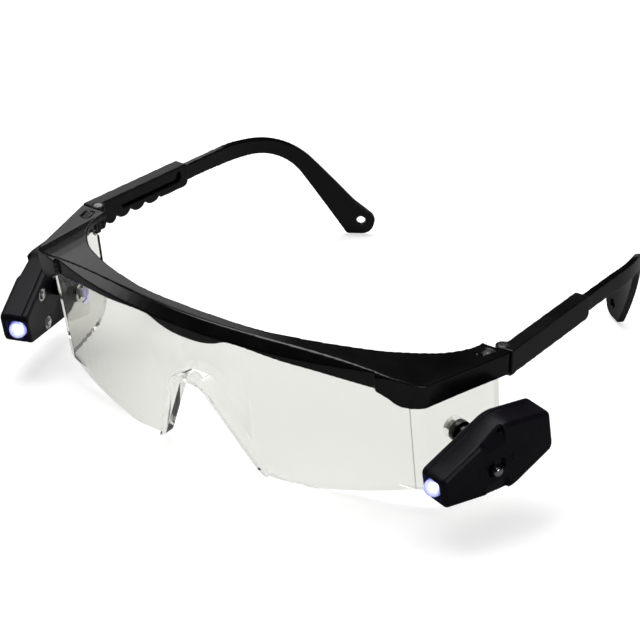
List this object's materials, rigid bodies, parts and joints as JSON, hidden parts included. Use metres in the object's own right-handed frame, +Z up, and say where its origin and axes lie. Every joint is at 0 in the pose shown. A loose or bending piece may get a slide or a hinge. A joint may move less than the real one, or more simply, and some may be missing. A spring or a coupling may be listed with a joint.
{
  "type": "safety glasses with lamps",
  "caption": "Wrap-round safety glasses with a clear one-piece lens, folding temples of adjustable length and a small turning lamp at each side.",
  "frame": {"origin": "middle of the bounding box in X and Y, on the ground plane that the lens's lower edge stands on", "axes": "+X to the left of the wearer, along the width of the glasses; +Y from the lens back along the temples; +Z up"},
  "size_m": [0.1688, 0.145, 0.0469],
  "materials": {
    "frame_black": "black nylon, satin to glossy",
    "lens_clear": "clear polycarbonate, polished",
    "sleeve_black": "black nylon, fine satin",
    "arm_black": "black nylon, glossy",
    "steel_pin": "plain steel",
    "knob_black": "black plastic, glossy",
    "washer_clear": "translucent plastic",
    "screw_steel": "plated steel",
    "case_black": "black plastic, lightly textured",
    "led_clear": "clear epoxy, lit",
    "board_green": "coated glass-fibre board",
    "cell_steel": "nickel-plated steel",
    "contact_brass": "thin spring brass",
    "switch_steel": "folded steel shell",
    "lever_steel": "plain steel, satin"
  },
  "bodies": {
    "front": {"brow_frame": "frame_black", "lens": "lens_clear", "right_hinge_pin": "steel_pin", "right_pivot_knob": "knob_black", "right_pivot_washer": "washer_clear", "right_pivot_screw": "screw_steel", "left_hinge_pin": "steel_pin", "left_pivot_knob": "knob_black", "left_pivot_washer": "washer_clear", "left_pivot_screw": "screw_steel"},
    "right_temple": {"right_temple_sleeve": "sleeve_black"},
    "right_arm": {"right_temple_arm": "arm_black"},
    "right_lamp": {"right_lamp_inner_shell": "case_black", "right_lamp_outer_cover": "case_black", "right_case_screws": "screw_steel", "right_led": "led_clear", "right_circuit_board": "board_green", "right_button_cells": "cell_steel", "right_positive_contact": "contact_brass", "right_negative_contact": "contact_brass", "right_switch_body": "switch_steel"},
    "right_switch": {"right_switch_lever": "lever_steel"},
    "left_temple": {"left_temple_sleeve": "sleeve_black"},
    "left_arm": {"left_temple_arm": "arm_black"},
    "left_lamp": {"left_lamp_inner_shell": "case_black", "left_lamp_outer_cover": "case_black", "left_case_screws": "screw_steel", "left_led": "led_clear", "left_circuit_board": "board_green", "left_button_cells": "cell_steel", "left_positive_contact": "contact_brass", "left_negative_contact": "contact_brass", "left_switch_body": "switch_steel"},
    "left_switch": {"left_switch_lever": "lever_steel"}
  },
  "joints": [
    {"name": "right_temple_fold", "type": "hinge", "parent": "front", "child": "right_temple", "pos_m": [0.06822, -0.02624, 0.0413], "axis": [0, 0, 1], "range_deg": [0, 87]},
    {"name": "right_arm_length", "type": "slide", "parent": "right_temple", "child": "right_arm", "axis": [-0.0419, 0.9986, -0.0314], "range_m": [0, 0.018]},
    {"name": "right_lamp_tilt", "type": "hinge", "parent": "front", "child": "right_lamp", "pos_m": [0.06442, -0.04095, 0.02176], "axis": [0.9641, -0.2604, -0.052], "range_deg": [-90, 90]},
    {"name": "right_switch_slide", "type": "slide", "parent": "right_lamp", "child": "right_switch", "axis": [0.2656, 0.9454, 0.1889], "range_m": [0, 0.0018]},
    {"name": "left_temple_fold", "type": "hinge", "parent": "front", "child": "left_temple", "pos_m": [-0.06822, -0.02624, 0.0413], "axis": [0, 0, -1], "range_deg": [0, 77]},
    {"name": "left_arm_length", "type": "slide", "parent": "left_temple", "child": "left_arm", "axis": [0.0419, 0.9986, -0.0314], "range_m": [0, 0.018]},
    {"name": "left_lamp_tilt", "type": "hinge", "parent": "front", "child": "left_lamp", "pos_m": [-0.06442, -0.04095, 0.02176], "axis": [-0.9641, -0.2604, -0.052], "range_deg": [-90, 90]},
    {"name": "left_switch_slide", "type": "slide", "parent": "left_lamp", "child": "left_switch", "axis": [-0.2656, 0.9454, 0.1889], "range_m": [0, 0.0018]}
  ]
}
